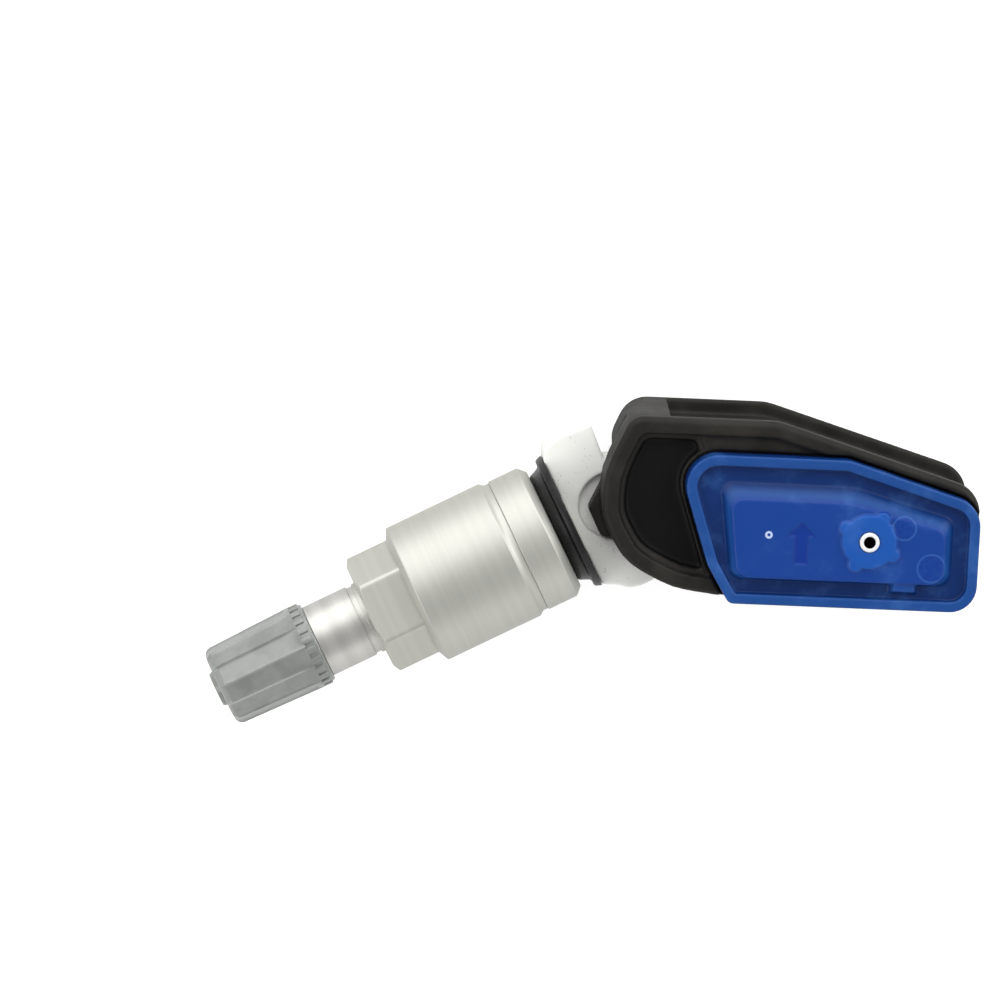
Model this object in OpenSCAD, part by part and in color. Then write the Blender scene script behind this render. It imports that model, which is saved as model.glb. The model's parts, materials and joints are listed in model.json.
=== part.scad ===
// Tyre pressure sensor with a metal clamp-in valve that swings on the sensor head.
// The origin is where the rubber seal meets the rim, on the valve's axis.
// +X runs along the valve towards the sensor head, and +Z along the hinge, out of the lid.

/* [Hinge] */
// Distance from the rim's seat to the hinge
seat_to_hinge = 5.6; // [5.2:0.1:6.2]
// Angle between the valve and the sensor head at rest
rest_angle = 28.3; // [15:0.1:35]
// Radius of the hinge screw's shank
screw_r = 1.75; // [1.5:0.05:1.9]
// Radial clearance of the foot's bore on the screw
screw_play = 0.05; // [0.02:0.01:0.09]
// Radius of the hinge screw's head
screw_head_r = 2.8; // [2.5:0.1:2.9]
// Height of the hinge screw's head
screw_head_h = 1.7; // [1.3:0.1:1.9]
// Corner radius of the angular lug that fills the foot's recess
lug_r = 3.45; // [3.1:0.05:3.55]
// How far the lug's blunt tip reaches towards the valve
lug_tip = 2.75; // [2.6:0.05:3]
// How far the lug stands into the foot
lug_h = 0.7; // [0.5:0.1:1.2]
// Radius of the ear round the screw on the back cheek
ear_r = 3.75; // [3.6:0.05:3.8]

/* [Valve foot] */
// Thickness of the foot between the cheeks
foot_t = 5.0; // [4.4:0.1:6]
// Largest radius of the foot about the hinge
foot_r = 9.65; // [9:0.05:10]
// Distance of the foot's back edge past the hinge
foot_back = 1.4; // [1:0.1:3]
// Radius of the round recess in the foot's front
recess_r = 3.7; // [3.65:0.05:4]

/* [Valve stem] */
// Radius of the turned stem
stem_r = 4.15; // [4.05:0.05:4.25]
// Radius of the threaded end under the cap
thread_r = 3.85; // [3.6:0.05:3.95]
// Distance from the hinge to the stem's mouth
stem_end = 46.6; // [45:0.1:48]
// Distance from the hinge to the cap's skirt
cap_start = 36; // [35.6:0.1:36.6]
// Radius of the air passage
passage_r = 0.9; // [0.6:0.05:1]
// Radius of the hole that takes the valve core
core_hole_r = 2.2; // [2.1:0.05:2.4]
// Gap left between turned pieces that slide or screw together
turn_gap = 0.05; // [0.03:0.01:0.08]

/* [Seal, ring and nut] */
// Radius of the seal's flange
seal_r = 8.0; // [7.6:0.1:8.1]
// Radius of the seal's neck in the rim's hole
seal_neck_r = 5.7; // [5.3:0.05:5.75]
// Where the seal's shoulder ends, from the hinge
seal_end = 6.95; // [6.8:0.05:7.2]
// Length of the seal's neck past its shoulder
seal_neck = 2.4; // [1.5:0.1:3]
// Radius of the clamping ring
ring_r = 7.85; // [7.4:0.05:8]
// Length of the clamping ring
ring_len = 4.35; // [3.9:0.05:5]
// Radius of the nut's sleeve
sleeve_r = 8.1; // [7.9:0.05:8.1]
// Length of the nut with its hexagon
nut_len = 18.25; // [17.5:0.05:18.7]
// Length of the hexagon
hex_len = 5.2; // [4:0.1:6]
// Width of the hexagon across its flats
hex_af = 12; // [11:0.5:13]
// Length of the chamfer at the sleeve's hexagon end
sleeve_edge = 0.6; // [0.4:0.05:0.9]
// Length of the chamfer at the hexagon's outer corners
hex_edge = 0.5; // [0.3:0.05:1]
// How far the hexagon is turned about the valve from square to the hinge
hex_turn = 10.2; // [0:0.1:30]
// Width of the groove between ring and sleeve
groove_w = 0.85; // [0.7:0.05:1.2]
// Depth of that groove
groove_d = 0.4; // [0.2:0.05:0.6]

/* [Valve cap] */
// Radius of the cap near its skirt
cap_r = 4.85; // [4.75:0.05:5]
// How much narrower the cap is at its closed end
cap_taper = 0.3; // [0:0.05:0.5]
// Thickness of the cap's closed end
cap_top_t = 0.9; // [0.6:0.1:1.2]
// Length of the notched skirt band
skirt_len = 1.4; // [1:0.1:1.8]
// Number of flutes
flutes = 12; // [8:1:16]
// Depth of a flute
flute_d = 0.28; // [0.15:0.01:0.35]
// How far the flutes are turned about the valve from square to the hinge
cap_turn = 11; // [0:0.5:30]
// Radius of the raised disc on the end
cap_disc_r = 2.1; // [1.5:0.1:2.6]
// Height of that disc
cap_disc_h = 0.5; // [0.3:0.1:1]

/* [Valve core] */
// Radius of the core's barrel
barrel_r = 1.6; // [1.5:0.05:1.75]
// Radius of the core's pin
pin_r = 0.42; // [0.36:0.02:0.46]
// Travel of the pin when it is pushed in
pin_travel = 1.2; // [0.8:0.1:1.4]
// How deep the core's top sits in the stem's mouth
core_depth = 2.6; // [2.4:0.1:3]
// Length of the core's barrel
core_len = 11; // [10.5:0.1:11.5]
// Length of the barrel's threaded top
core_top_len = 4.8; // [4.4:0.1:5]
// Thickness of the cup that seals the barrel's lower end
cup_t = 1.1; // [0.8:0.1:1.4]

/* [Sensor head] */
// Distance from the hinge to the head's far end
head_reach = 40.5; // [38.5:0.5:44]
// Height of the head's long upper side over the hinge
head_top = 10.9; // [10.7:0.1:11.4]
// Depth of the head's lower side under the hinge
head_bottom = 9.25; // [9.2:0.05:10]
// Where the upper side bends down
bend_x = 17.6; // [16:0.2:20]
// Height of the upper far corner over the hinge
end_top = 4.05; // [3.6:0.05:4.6]
// How far the head's nose reaches past the hinge
nose = 1.55; // [1.3:0.05:1.8]
// Level of the head's flat back under the hinge's middle
back_level = 8.1; // [7.9:0.05:8.1]
// Level of the front bead over the hinge's middle
front_level = 8.0; // [7.8:0.1:8.4]
// Width of the front bead
bead_w = 1.8; // [1.4:0.1:2.2]
// Depth of the pocket beside the lid
pocket_d = 2.0; // [1.2:0.1:2.2]
// Depth of the groove round the head's upper side and far end
side_groove = 1.7; // [1.2:0.1:1.8]
// Clearance of the foot in its slot, each side and round its edge
slot_gap = 0.1; // [0.06:0.01:0.3]
// Wall of the battery and circuit compartment
wall = 1.35; // [1.1:0.05:1.6]

/* [Lid] */
// Level of the lid's rim over the hinge's middle
lid_level = 9.7; // [9.4:0.1:10.2]
// Width of the lid's raised rim
lid_rim_w = 1.15; // [0.9:0.05:1.4]
// Depth of the channel inside the rim
channel_d = 1.0; // [0.6:0.1:1.3]
// Height of the raised middle over the channel
plateau_h = 1.5; // [1:0.1:2]
// Gap between the lid and the land beside it
lid_gap = 0.25; // [0.15:0.05:0.4]
// Radius of the boss round the pressure port
boss_r = 3.0; // [2.6:0.1:3.2]
// Outer radius of the port's seal
port_r = 1.1; // [0.9:0.05:1.3]
// Radius of the port's hole
port_hole_r = 0.63; // [0.5:0.01:0.7]

/* [Electronics] */
// Thickness of the circuit board
pcb_t = 1.0; // [0.8:0.1:1.6]
// Radius of the battery
battery_r = 6.2; // [5.8:0.1:6.3]
// Height of the battery
battery_h = 5.2; // [4:0.1:5.6]
// Thickness of the battery's welded strips
strip_t = 0.15; // [0.1:0.05:0.3]
// Width of the battery's welded strips
strip_w = 2.5; // [1.5:0.1:3.5]
// Side of the square microcontroller
chip = 5; // [3:0.5:6]
// Width of the pressure sensor's package
sensor_w = 5.5; // [4:0.5:6]
// Length of the pressure sensor's package
sensor_len = 5.6; // [4:0.1:5.7]
// Height of the pressure sensor's package
sensor_h = 2; // [1.5:0.1:2.5]
// Length of the coil's core
coil_len = 9; // [7:0.5:9.5]
// Width and height of the coil
coil_w = 2.8; // [2:0.1:3]
// Height of the antenna strip
antenna_h = 2.4; // [1.5:0.1:3]

/* [Hidden] */
$fn = 64;

black = [0.05, 0.05, 0.05];
blue = [0.1, 0.28, 0.66];
metal = [0.72, 0.71, 0.68];
eps = 0.01;

slot_half = foot_t / 2 + slot_gap;
slot_r = foot_r + 3.5 * slot_gap;
foot_face = seat_to_hinge - 0.85;
recess_floor = foot_t / 2 - lug_h - slot_gap - 0.05;
lid_seat = front_level - 1.0;
channel_level = lid_level - channel_d;
plateau_level = channel_level + plateau_h;
boss_level = plateau_level + 0.4;
port_level = boss_level + 0.2;
land_level = front_level - 0.45;
pocket_floor = front_level - pocket_d;
lug_top = slot_half + 1.9;
screw_end = lug_top - 0.6;
nut_start = seal_end + ring_len;
nut_end = nut_start + nut_len;
hex_r = hex_af / 2 / cos(30);
cap_end = stem_end + 0.5 + cap_top_t;
core_top = stem_end - core_depth;
core_low = core_top - core_len;
core_step = core_top - core_top_len;
core_seat = core_step - 1.6;
core_bore_r = pin_r + 0.43;
spring_low = core_low + 0.8;
pin_collar = core_step + 0.6;

// Corners run anticlockwise as [x, y, radius], in the head's own axes with the hinge at their centre.
head_corners = [
    [6.75, -head_bottom + 1.05, 10],
    [15.6, -head_bottom, 18],
    [head_reach, -head_bottom, 3.3],
    [head_reach, end_top, 3.6],
    [bend_x, head_top, 5],
    [1.25, head_top, 2.2],
    [-nose, 4.45, 10],
    [-nose, -0.55, 7],
    [1.25, -5.5, 7]];
// The back cheek is set back from the nose, so that the foot shows beside it.
back_corners = [
    [6.75, -head_bottom + 1.05, 9],
    [15.6, -head_bottom, 18],
    [head_reach, -head_bottom, 3.3],
    [head_reach, end_top, 3.6],
    [bend_x, head_top, 5],
    [2.1, head_top, 3.2],
    [0.4, 6.9, 3],
    [0.8, 1.5, 7],
    [2.1, -5, 5]];
lid_corners = [
    [12.9, -head_bottom - 0.1, 0.9],
    [head_reach - 0.1, -head_bottom - 0.1, 3],
    [head_reach - 0.1, end_top - 1.4, 3.3],
    [bend_x + 7.9, head_top - 3.75, 2],
    [6.1, head_top - 3.68, 3.55],
    [10.4, -5.3, 6]];
plateau_corners = [
    [12.9, -head_bottom + 2.7, 1.2],
    [head_reach - 3, -head_bottom + 2.7, 1.4],
    [head_reach - 3, end_top - 3.05, 1.2],
    [bend_x + 8.6, head_top - 6.75, 1.5],
    [11.3, head_top - 6.7, 1]];
cavity_left = slot_r + 1.6;
cavity_corners = [
    [cavity_left + 2.2, -head_bottom + wall, 1],
    [head_reach - side_groove - 1, -head_bottom + wall, 2],
    [head_reach - side_groove - 1, end_top - wall - 0.9, 2.2],
    [bend_x + 6.2, head_top - 4.7, 1.5],
    [cavity_left, head_top - 4.7, 2],
    [cavity_left, -4.6, 1]];
ledge = 0.6;
ledge_level = 1.2;
cavity_floor = -back_level + 1.4;
pcb_top = ledge_level + pcb_t;
port_at = [head_reach - 12.45, -1.7];
board_left = cavity_left + 2.6;
coil_at = [cavity_left + 3.4, -head_bottom + wall + 0.35];
battery_at = [cavity_left + ledge + 0.1 + battery_r, (head_top - 4.7 - head_bottom + wall) / 2];

// Plain vector helpers for the rounded outlines
function unit(v) = v / norm(v);
function left(v) = [-v[1], v[0]];
function xy(c) = [c[0], c[1]];
function side(c, i) = unit(xy(c[(i + 1) % len(c)]) - xy(c[(i + len(c)) % len(c)]));
function turn(u, v) = atan2(u[0] * v[1] - u[1] * v[0], u * v);

// Moves every side of an outline inwards by d, and outwards where d is negative
function inset(c, d, least = 0.25) = [for (i = [0 : len(c) - 1])
    let (u = side(c, i + len(c) - 1), v = side(c, i), shift = (left(u) + left(v)) * d / (1 + u * v))
    [c[i][0] + shift[0], c[i][1] + shift[1], max(least, c[i][2] - d)]];

// Rounds each corner with an arc of its own radius, with a point about every 12 degrees
function rounded(c) = [for (i = [0 : len(c) - 1])
    let (u = side(c, i + len(c) - 1), v = side(c, i), a = turn(u, v), r = c[i][2],
        start = xy(c[i]) - u * r * tan(abs(a) / 2), mid = start + left(u) * r * sign(a),
        steps = max(2, ceil(abs(a) / 12)))
    for (k = [0 : steps])
        let (b = a * k / steps, arm = start - mid)
        mid + [arm[0] * cos(b) - arm[1] * sin(b), arm[0] * sin(b) + arm[1] * cos(b)]];

module plate(c, low, high) {
    translate([0, 0, low]) linear_extrude(high - low) polygon(rounded(c));
}

// A plate whose lower and upper edges are taken off by the widths given
module edged_plate(c, low, high, low_edge, high_edge) {
    cuts = concat(low_edge > 0 ? [low_edge] : [], [0, 0], high_edge > 0 ? [high_edge] : []);
    levels = concat(low_edge > 0 ? [low] : [], [low + low_edge, high - high_edge], high_edge > 0 ? [high] : []);
    outlines = [for (cut = cuts) rounded(inset(c, cut, 1))];
    count = len(outlines[0]);
    points = [for (j = [0 : len(levels) - 1], p = outlines[j]) [p[0], p[1], levels[j]]];
    walls = [for (j = [0 : len(levels) - 2], i = [0 : count - 1])
        let (a = j * count + i, b = j * count + (i + 1) % count) [a, a + count, b + count, b]];
    floor = [for (i = [0 : count - 1]) i];
    roof = [for (i = [count - 1 : -1 : 0]) (len(levels) - 1) * count + i];
    polyhedron(points, concat(walls, [floor, roof]));
}

// A tube or rod along its own Z
module tube(low, high, outer, inner = 0) {
    translate([0, 0, low]) difference() {
        cylinder(r = outer, h = high - low);
        if (inner > 0) translate([0, 0, -1]) cylinder(r = inner, h = high - low + 2);
    }
}

// The sensor head is drawn in its own axes, with the hinge at their centre
module at_head() {
    translate([seat_to_hinge, 0, 0]) rotate([0, 0, -rest_angle]) children();
}

// Turned pieces are drawn upright, with Z as the distance from the hinge towards the cap
module on_valve() {
    translate([seat_to_hinge, 0, 0]) rotate([0, -90, 0]) children();
}

// Ring-shaped groove between the front and back plates; its end near the nose leans back a little
module head_side_groove() {
    difference() {
        translate([0, 0, -back_level + 1.5]) linear_extrude(back_level + front_level - 3.3) difference() {
            polygon(rounded(inset(head_corners, -2)));
            polygon(rounded(inset(head_corners, side_groove, 1)));
            translate([-20, -30]) square([head_reach + 30, 34 - head_bottom]);
        }
        translate([slot_r - 4, 0, 0]) rotate([0, -3, 0]) translate([-40, -30, -20]) cube([40, 60, 40]);
    }
}

// Shallow hollow between the bead and the lid's left end
module pocket(low, depth_in) {
    translate([0, 0, low]) linear_extrude(front_level - low + 1) difference() {
        intersection() {
            polygon(rounded(inset(head_corners, bead_w + depth_in, 1.3)));
            polygon([[-nose, -12], [14, -12], [14, -8], [9.6 - depth_in, head_top - 3.6],
                [8.9 - depth_in, head_top - 1.6], [8.9 - depth_in, 12], [-nose, 12]]);
        }
        polygon(rounded(inset(lid_corners, -0.5)));
    }
}

module housing() {
    color(black) at_head() {
        difference() {
            union() {
                edged_plate(head_corners, -slot_half, front_level, 0, 0.45);
                edged_plate(back_corners, -back_level, -slot_half, 0.5, 0);
                // ear that holds the hinge screw's head
                tube(-back_level, -slot_half, ear_r);
            }
            plate(inset(head_corners, bead_w, 1.5), land_level, front_level + 1);
            pocket(pocket_floor + 1, 0);
            pocket(pocket_floor, 0.7);
            plate(inset(lid_corners, -lid_gap), lid_seat, front_level + 1);
            plate(cavity_corners, ledge_level, front_level + 1);
            plate(inset(cavity_corners, ledge), cavity_floor, front_level + 1);
            head_side_groove();
            tube(-slot_half, slot_half, slot_r);
            tube(-back_level - 1, -slot_half + 1, screw_r + turn_gap);
            tube(-back_level - 1, -back_level + screw_head_h, screw_head_r + turn_gap);
            tube(slot_half - 1, screw_end + turn_gap, screw_r + turn_gap);
        }
        // angular lug that locates the foot
        difference() {
            translate([0, 0, slot_half - lug_h]) linear_extrude(lug_h + lug_top - slot_half)
                polygon(concat([lug_tip * [cos(183), sin(183)]],
                    [for (a = [250, 274, 330, 30, 70, 111]) lug_r * [cos(a), sin(a)]]));
            tube(slot_half - lug_h - 1, screw_end + turn_gap, screw_r + turn_gap);
        }
    }
}

// The raised middle slopes gently on three sides and is steep on the lower one, where a tab leaves it
module plateau() {
    low = plateau_corners;
    shift = [[0.75, 0.3], [-1.05, 0.3], [-1.05, -1.3], [-0.55, -1.8], [1.25, -1.8]];
    top = [for (i = [0 : len(low) - 1]) [low[i][0] + shift[i][0], low[i][1] + shift[i][1], low[i][2] + 0.3]];
    hull() {
        plate(low, channel_level - eps, channel_level);
        plate(top, plateau_level - eps, plateau_level);
    }
    tab_low = -head_bottom + 1.75;
    hull() {
        translate([30.6, tab_low, channel_level - eps]) cube([3.2, 2.2, eps]);
        translate([31.1, tab_low + 0.35, plateau_level - 0.3]) cube([2.2, 2, eps]);
    }
}

// Boss with four lobes round the pressure port
module port_boss() {
    translate(port_at) {
        tube(channel_level, boss_level, boss_r);
        for (a = [62 : 90 : 332])
            rotate([0, 0, a]) translate([boss_r - 0.05, 0, 0]) tube(channel_level, boss_level - 0.1, 0.78);
    }
}

module lid() {
    color(blue) at_head() difference() {
        union() {
            plate(lid_corners, lid_seat, channel_level);
            difference() {
                plate(lid_corners, channel_level - eps, lid_level);
                plate(inset(lid_corners, lid_rim_w), channel_level - 1, lid_level + 1);
            }
            plateau();
            port_boss();
        }
        plate(inset(plateau_corners, 2.1), lid_seat - 1, plateau_level - 1.1);
        translate(port_at) tube(lid_seat - 1, boss_level + 1, port_r + turn_gap);
        // plain direction arrow, sunk into the raised middle
        translate([20.5, -4.55, plateau_level - 0.15]) linear_extrude(1)
            polygon([[-0.8, 0], [0.8, 0], [0.8, 3.1], [1.7, 3.1], [0, 4.7], [-1.7, 3.1], [-0.8, 3.1]]);
    }
}

module pcb() {
    color([0.05, 0.3, 0.15]) at_head() plate(inset(cavity_corners, 0.1), ledge_level, pcb_top);
}

module battery() {
    color([0.75, 0.75, 0.76]) at_head() translate([battery_at[0], battery_at[1], cavity_floor + strip_t])
        cylinder(r = battery_r, h = battery_h);
}

// Welded strip from the battery's upper pole to the board above it
module battery_tab_pos() {
    low = cavity_floor + strip_t + battery_h;
    color([0.8, 0.78, 0.7]) at_head() translate([battery_at[0] - 4, battery_at[1] - strip_w / 2, low]) {
        cube([6, strip_w, strip_t]);
        cube([strip_t, strip_w, ledge_level - low]);
    }
}

// Welded strip from under the battery, up past its side to the board
module battery_tab_neg() {
    color([0.8, 0.78, 0.7]) at_head() translate([battery_at[0], battery_at[1] - strip_w / 2, cavity_floor]) {
        translate([-2, 0, 0]) cube([battery_r + 3, strip_w, strip_t]);
        translate([battery_r + 1 - strip_t, 0, 0]) cube([strip_t, strip_w, ledge_level - cavity_floor]);
    }
}

module pressure_sensor() {
    color([0.2, 0.2, 0.2]) at_head() translate([port_at[0], port_at[1], pcb_top]) difference() {
        translate([-sensor_w / 2, -sensor_len / 2, 0]) cube([sensor_w, sensor_len, sensor_h]);
        translate([0, 0, sensor_h / 2]) cylinder(r = port_hole_r, h = sensor_h);
    }
}

module microcontroller() {
    color([0.1, 0.1, 0.11]) at_head() translate([board_left, -0.6, pcb_top]) cube([chip, chip, 1]);
}

module crystal() {
    color([0.8, 0.8, 0.78]) at_head() translate([board_left + chip + 2, 2.4, pcb_top])
        cube([3.2, 2.5, 0.8]);
}

// Ferrite bar with a square flange at each end
module coil_core() {
    bar = coil_w - 1.3;
    color([0.16, 0.15, 0.15]) at_head() translate([coil_at[0], coil_at[1], pcb_top]) {
        for (x = [0, coil_len - 1]) translate([x, 0, 0]) cube([1, coil_w, coil_w]);
        translate([0, 0.65, 0.65]) cube([coil_len, bar, bar]);
    }
}

module coil_winding() {
    inner = coil_w - 1.2;
    color([0.7, 0.4, 0.2]) at_head() translate([coil_at[0] + 1.1, coil_at[1], pcb_top]) difference() {
        translate([0, 0.1, 0.1]) cube([coil_len - 2.2, coil_w - 0.2, coil_w - 0.2]);
        translate([-1, 0.6, 0.6]) cube([coil_len, inner, inner]);
    }
}

// Bent metal strip that stands on the board round the far end
module antenna() {
    color([0.8, 0.7, 0.4]) at_head() translate([0, 0, pcb_top]) linear_extrude(antenna_h) difference() {
        polygon(rounded(inset(cavity_corners, 0.6)));
        polygon(rounded(inset(cavity_corners, 1)));
        translate([0, -20]) square([head_reach - 8.5, 40]);
    }
}

module port_seal() {
    color([0.92, 0.92, 0.9]) at_head() translate(port_at) tube(pcb_top + sensor_h, port_level, port_r, port_hole_r);
}

module pivot_screw() {
    color(metal) at_head() difference() {
        union() {
            tube(-back_level, -back_level + screw_head_h, screw_head_r);
            tube(-back_level + 1, screw_end, screw_r);
        }
        translate([0, 0, -back_level - 1]) cylinder(r = 1.6, h = 2.2, $fn = 6);
    }
}

// Side view of the foot: x is the distance from the hinge towards the head, y is across the valve
foot_outline = [
    [-foot_face, foot_r - 2], [-4.25, foot_r - 0.95], [-3.7, foot_r - 0.5], [-2.1, foot_r - 0.05],
    [foot_back + 0.35, foot_r - 0.35], [foot_back, foot_r - 4.75], [foot_back, -foot_r + 0.25],
    [0.5, -foot_r], [-1, -foot_r + 0.05], [-2.2, -foot_r + 0.4], [-3.3, -foot_r + 1.3],
    [-foot_face, -foot_r + 2.05]];

module valve_foot() {
    translate([seat_to_hinge, 0, 0]) difference() {
        translate([0, 0, -foot_t / 2]) linear_extrude(foot_t) union() {
            polygon(foot_outline);
            circle(r = recess_r + 1.6);
        }
        tube(recess_floor, foot_t / 2 + 1, recess_r);
        tube(-foot_t, foot_t, screw_r + screw_play);
        // cross hole that lets the tyre's air into the stem
        translate([-3.4, 0, 0]) rotate([90, 0, 0]) cylinder(r = passage_r, h = foot_r + 1);
    }
}

module valve_body() {
    color([0.8, 0.8, 0.78]) difference() {
        union() {
            valve_foot();
            on_valve() {
                tube(foot_face - 0.5, nut_end + 0.2, stem_r);
                tube(nut_end - 1, nut_end + 1.1, stem_r - 0.2);
                tube(nut_end + 1.1, cap_start, stem_r);
                rotate_extrude() polygon([[0, cap_start - 1], [thread_r, cap_start - 1], [thread_r, stem_end - 0.4],
                    [thread_r - 0.4, stem_end], [0, stem_end]]);
            }
        }
        on_valve() {
            tube(3.4, core_low, passage_r);
            tube(core_low - cup_t - pin_travel - 0.7, core_seat, barrel_r + 0.3);
            tube(core_seat, stem_end + 1, core_hole_r);
        }
    }
}

module grommet_seal() {
    color([0.04, 0.04, 0.04]) on_valve() rotate_extrude() polygon([
        [stem_r + turn_gap, foot_face], [seal_r, foot_face], [seal_r - 0.3, seat_to_hinge],
        [seal_r - 1.1, seat_to_hinge], [seal_r - 1.7, seal_end], [seal_neck_r, seal_end],
        [seal_neck_r - 0.3, seal_end + seal_neck], [stem_r + turn_gap, seal_end + seal_neck]]);
}

module clamp_ring() {
    color(metal) on_valve() rotate_extrude() polygon([
        [seal_neck_r + 0.1, seal_end], [ring_r - 0.85, seal_end], [ring_r, seal_end + 0.85],
        [ring_r, nut_start], [stem_r + 0.1, nut_start], [stem_r + 0.1, seal_end + seal_neck + 0.1],
        [seal_neck_r + 0.1, seal_end + seal_neck + 0.1]]);
}

module nut() {
    color(metal) on_valve() difference() {
        union() {
            rotate_extrude() polygon([
                [0, nut_start], [sleeve_r - groove_d, nut_start], [sleeve_r - groove_d, nut_start + groove_w - 0.3],
                [sleeve_r - 0.2, nut_start + groove_w], [sleeve_r, nut_start + groove_w + 0.2],
                [sleeve_r, nut_end - hex_len - sleeve_edge], [sleeve_r - 1.25, nut_end - hex_len],
                [0, nut_end - hex_len]]);
            intersection() {
                translate([0, 0, nut_end - hex_len - 1]) rotate([0, 0, 30 + hex_turn])
                    cylinder(r = hex_r, h = hex_len + 1, $fn = 6);
                rotate_extrude() polygon([[0, nut_end - hex_len - 1], [hex_r + 1, nut_end - hex_len - 1],
                    [hex_r + 1, nut_end - 2 * hex_edge], [hex_r - 0.9, nut_end], [0, nut_end]]);
            }
        }
        tube(nut_start - 1, nut_end + 1, stem_r + turn_gap);
    }
}

module valve_cap() {
    tip = cap_r - cap_taper;
    pitch = 360 / flutes;
    color([0.55, 0.57, 0.54]) on_valve() difference() {
        union() {
            rotate_extrude() polygon([
                [0, cap_start], [cap_r - 0.35, cap_start], [cap_r - 0.2, cap_start + 0.3],
                [cap_r - 0.2, cap_start + skirt_len], [cap_r, cap_start + skirt_len], [tip, cap_end - 0.9],
                [tip - 0.25, cap_end - 0.3], [tip - 0.8, cap_end], [cap_disc_r, cap_end],
                [cap_disc_r - 0.2, cap_end + cap_disc_h], [0, cap_end + cap_disc_h]]);
            // small blocks round the skirt
            for (i = [0 : 2 * flutes - 1]) rotate([0, 0, cap_turn + (i + 0.5) * pitch / 2])
                translate([cap_r - 0.6, -0.38, cap_start + 0.35]) cube([0.6, 0.76, skirt_len]);
        }
        // flutes lean with the taper
        for (i = [0 : flutes - 1]) rotate([0, 0, cap_turn + (i + 0.5) * pitch])
            translate([cap_r + 1.5 - flute_d, 0, cap_start + skirt_len])
            rotate([0, -atan(cap_taper / (cap_end - cap_start - skirt_len)), 0])
            cylinder(r = 1.5, h = cap_end, $fn = 32);
        tube(cap_start - 1, cap_start + 0.9, stem_r + 0.1);
        tube(cap_start, stem_end + 0.5, thread_r + 1.4 * turn_gap);
    }
}

module cap_gasket() {
    color([0.1, 0.1, 0.1]) on_valve() tube(stem_end + 0.02, stem_end + 0.48, thread_r, 1.3);
}

module core_barrel() {
    color([0.8, 0.65, 0.3]) on_valve() difference() {
        union() {
            tube(core_low, core_step + 0.1, barrel_r);
            tube(core_step, core_top, core_hole_r - turn_gap);
        }
        tube(spring_low, core_top - 0.4, core_bore_r);
        tube(core_low - 1, core_top + 1, pin_r + 0.06);
    }
}

module core_gasket() {
    color([0.9, 0.9, 0.86]) on_valve()
        tube(core_seat + turn_gap, core_step - turn_gap, core_hole_r - turn_gap, barrel_r + 0.03);
}

module core_pin() {
    color([0.82, 0.68, 0.35]) on_valve() {
        tube(core_low - cup_t - 0.4, stem_end - 0.8, pin_r);
        tube(pin_collar, pin_collar + 0.6, core_bore_r - 0.13);
    }
}

module core_cup() {
    color([0.08, 0.08, 0.08]) on_valve() tube(core_low - cup_t, core_low, barrel_r - 0.25, pin_r + 0.02);
}

// Coil spring between the barrel's floor and the pin's collar
module core_spring() {
    coil_r = (pin_r + core_bore_r) / 2;
    wire_r = 0.1;
    turns = 7;
    per_turn = 12;
    low = spring_low + wire_r;
    high = pin_collar - wire_r;
    count = turns * per_turn;
    points = [for (i = [0 : count], k = [0 : 5])
        let (a = i * 360 / per_turn, r = coil_r + wire_r * cos(k * 60))
        [r * cos(a), r * sin(a), low + (high - low) * i / count + wire_r * sin(k * 60)]];
    sides = [for (i = [0 : count - 1], k = [0 : 5])
        let (a = i * 6 + k, b = i * 6 + (k + 1) % 6) [a, a + 6, b + 6, b]];
    ends = [[0, 1, 2, 3, 4, 5], [for (k = [5 : -1 : 0]) count * 6 + k]];
    color([0.75, 0.75, 0.75]) on_valve() polyhedron(points, concat(sides, ends));
}

housing();
lid();
pcb();
battery();
battery_tab_pos();
battery_tab_neg();
pressure_sensor();
microcontroller();
crystal();
coil_core();
coil_winding();
antenna();
port_seal();
pivot_screw();
valve_body();
grommet_seal();
clamp_ring();
nut();
valve_cap();
cap_gasket();
core_barrel();
core_gasket();
core_pin();
core_cup();
core_spring();
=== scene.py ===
import bpy
import bmesh
import json
from math import sin, cos, radians, pi, hypot, atan2
from mathutils import Vector, Matrix


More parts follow.
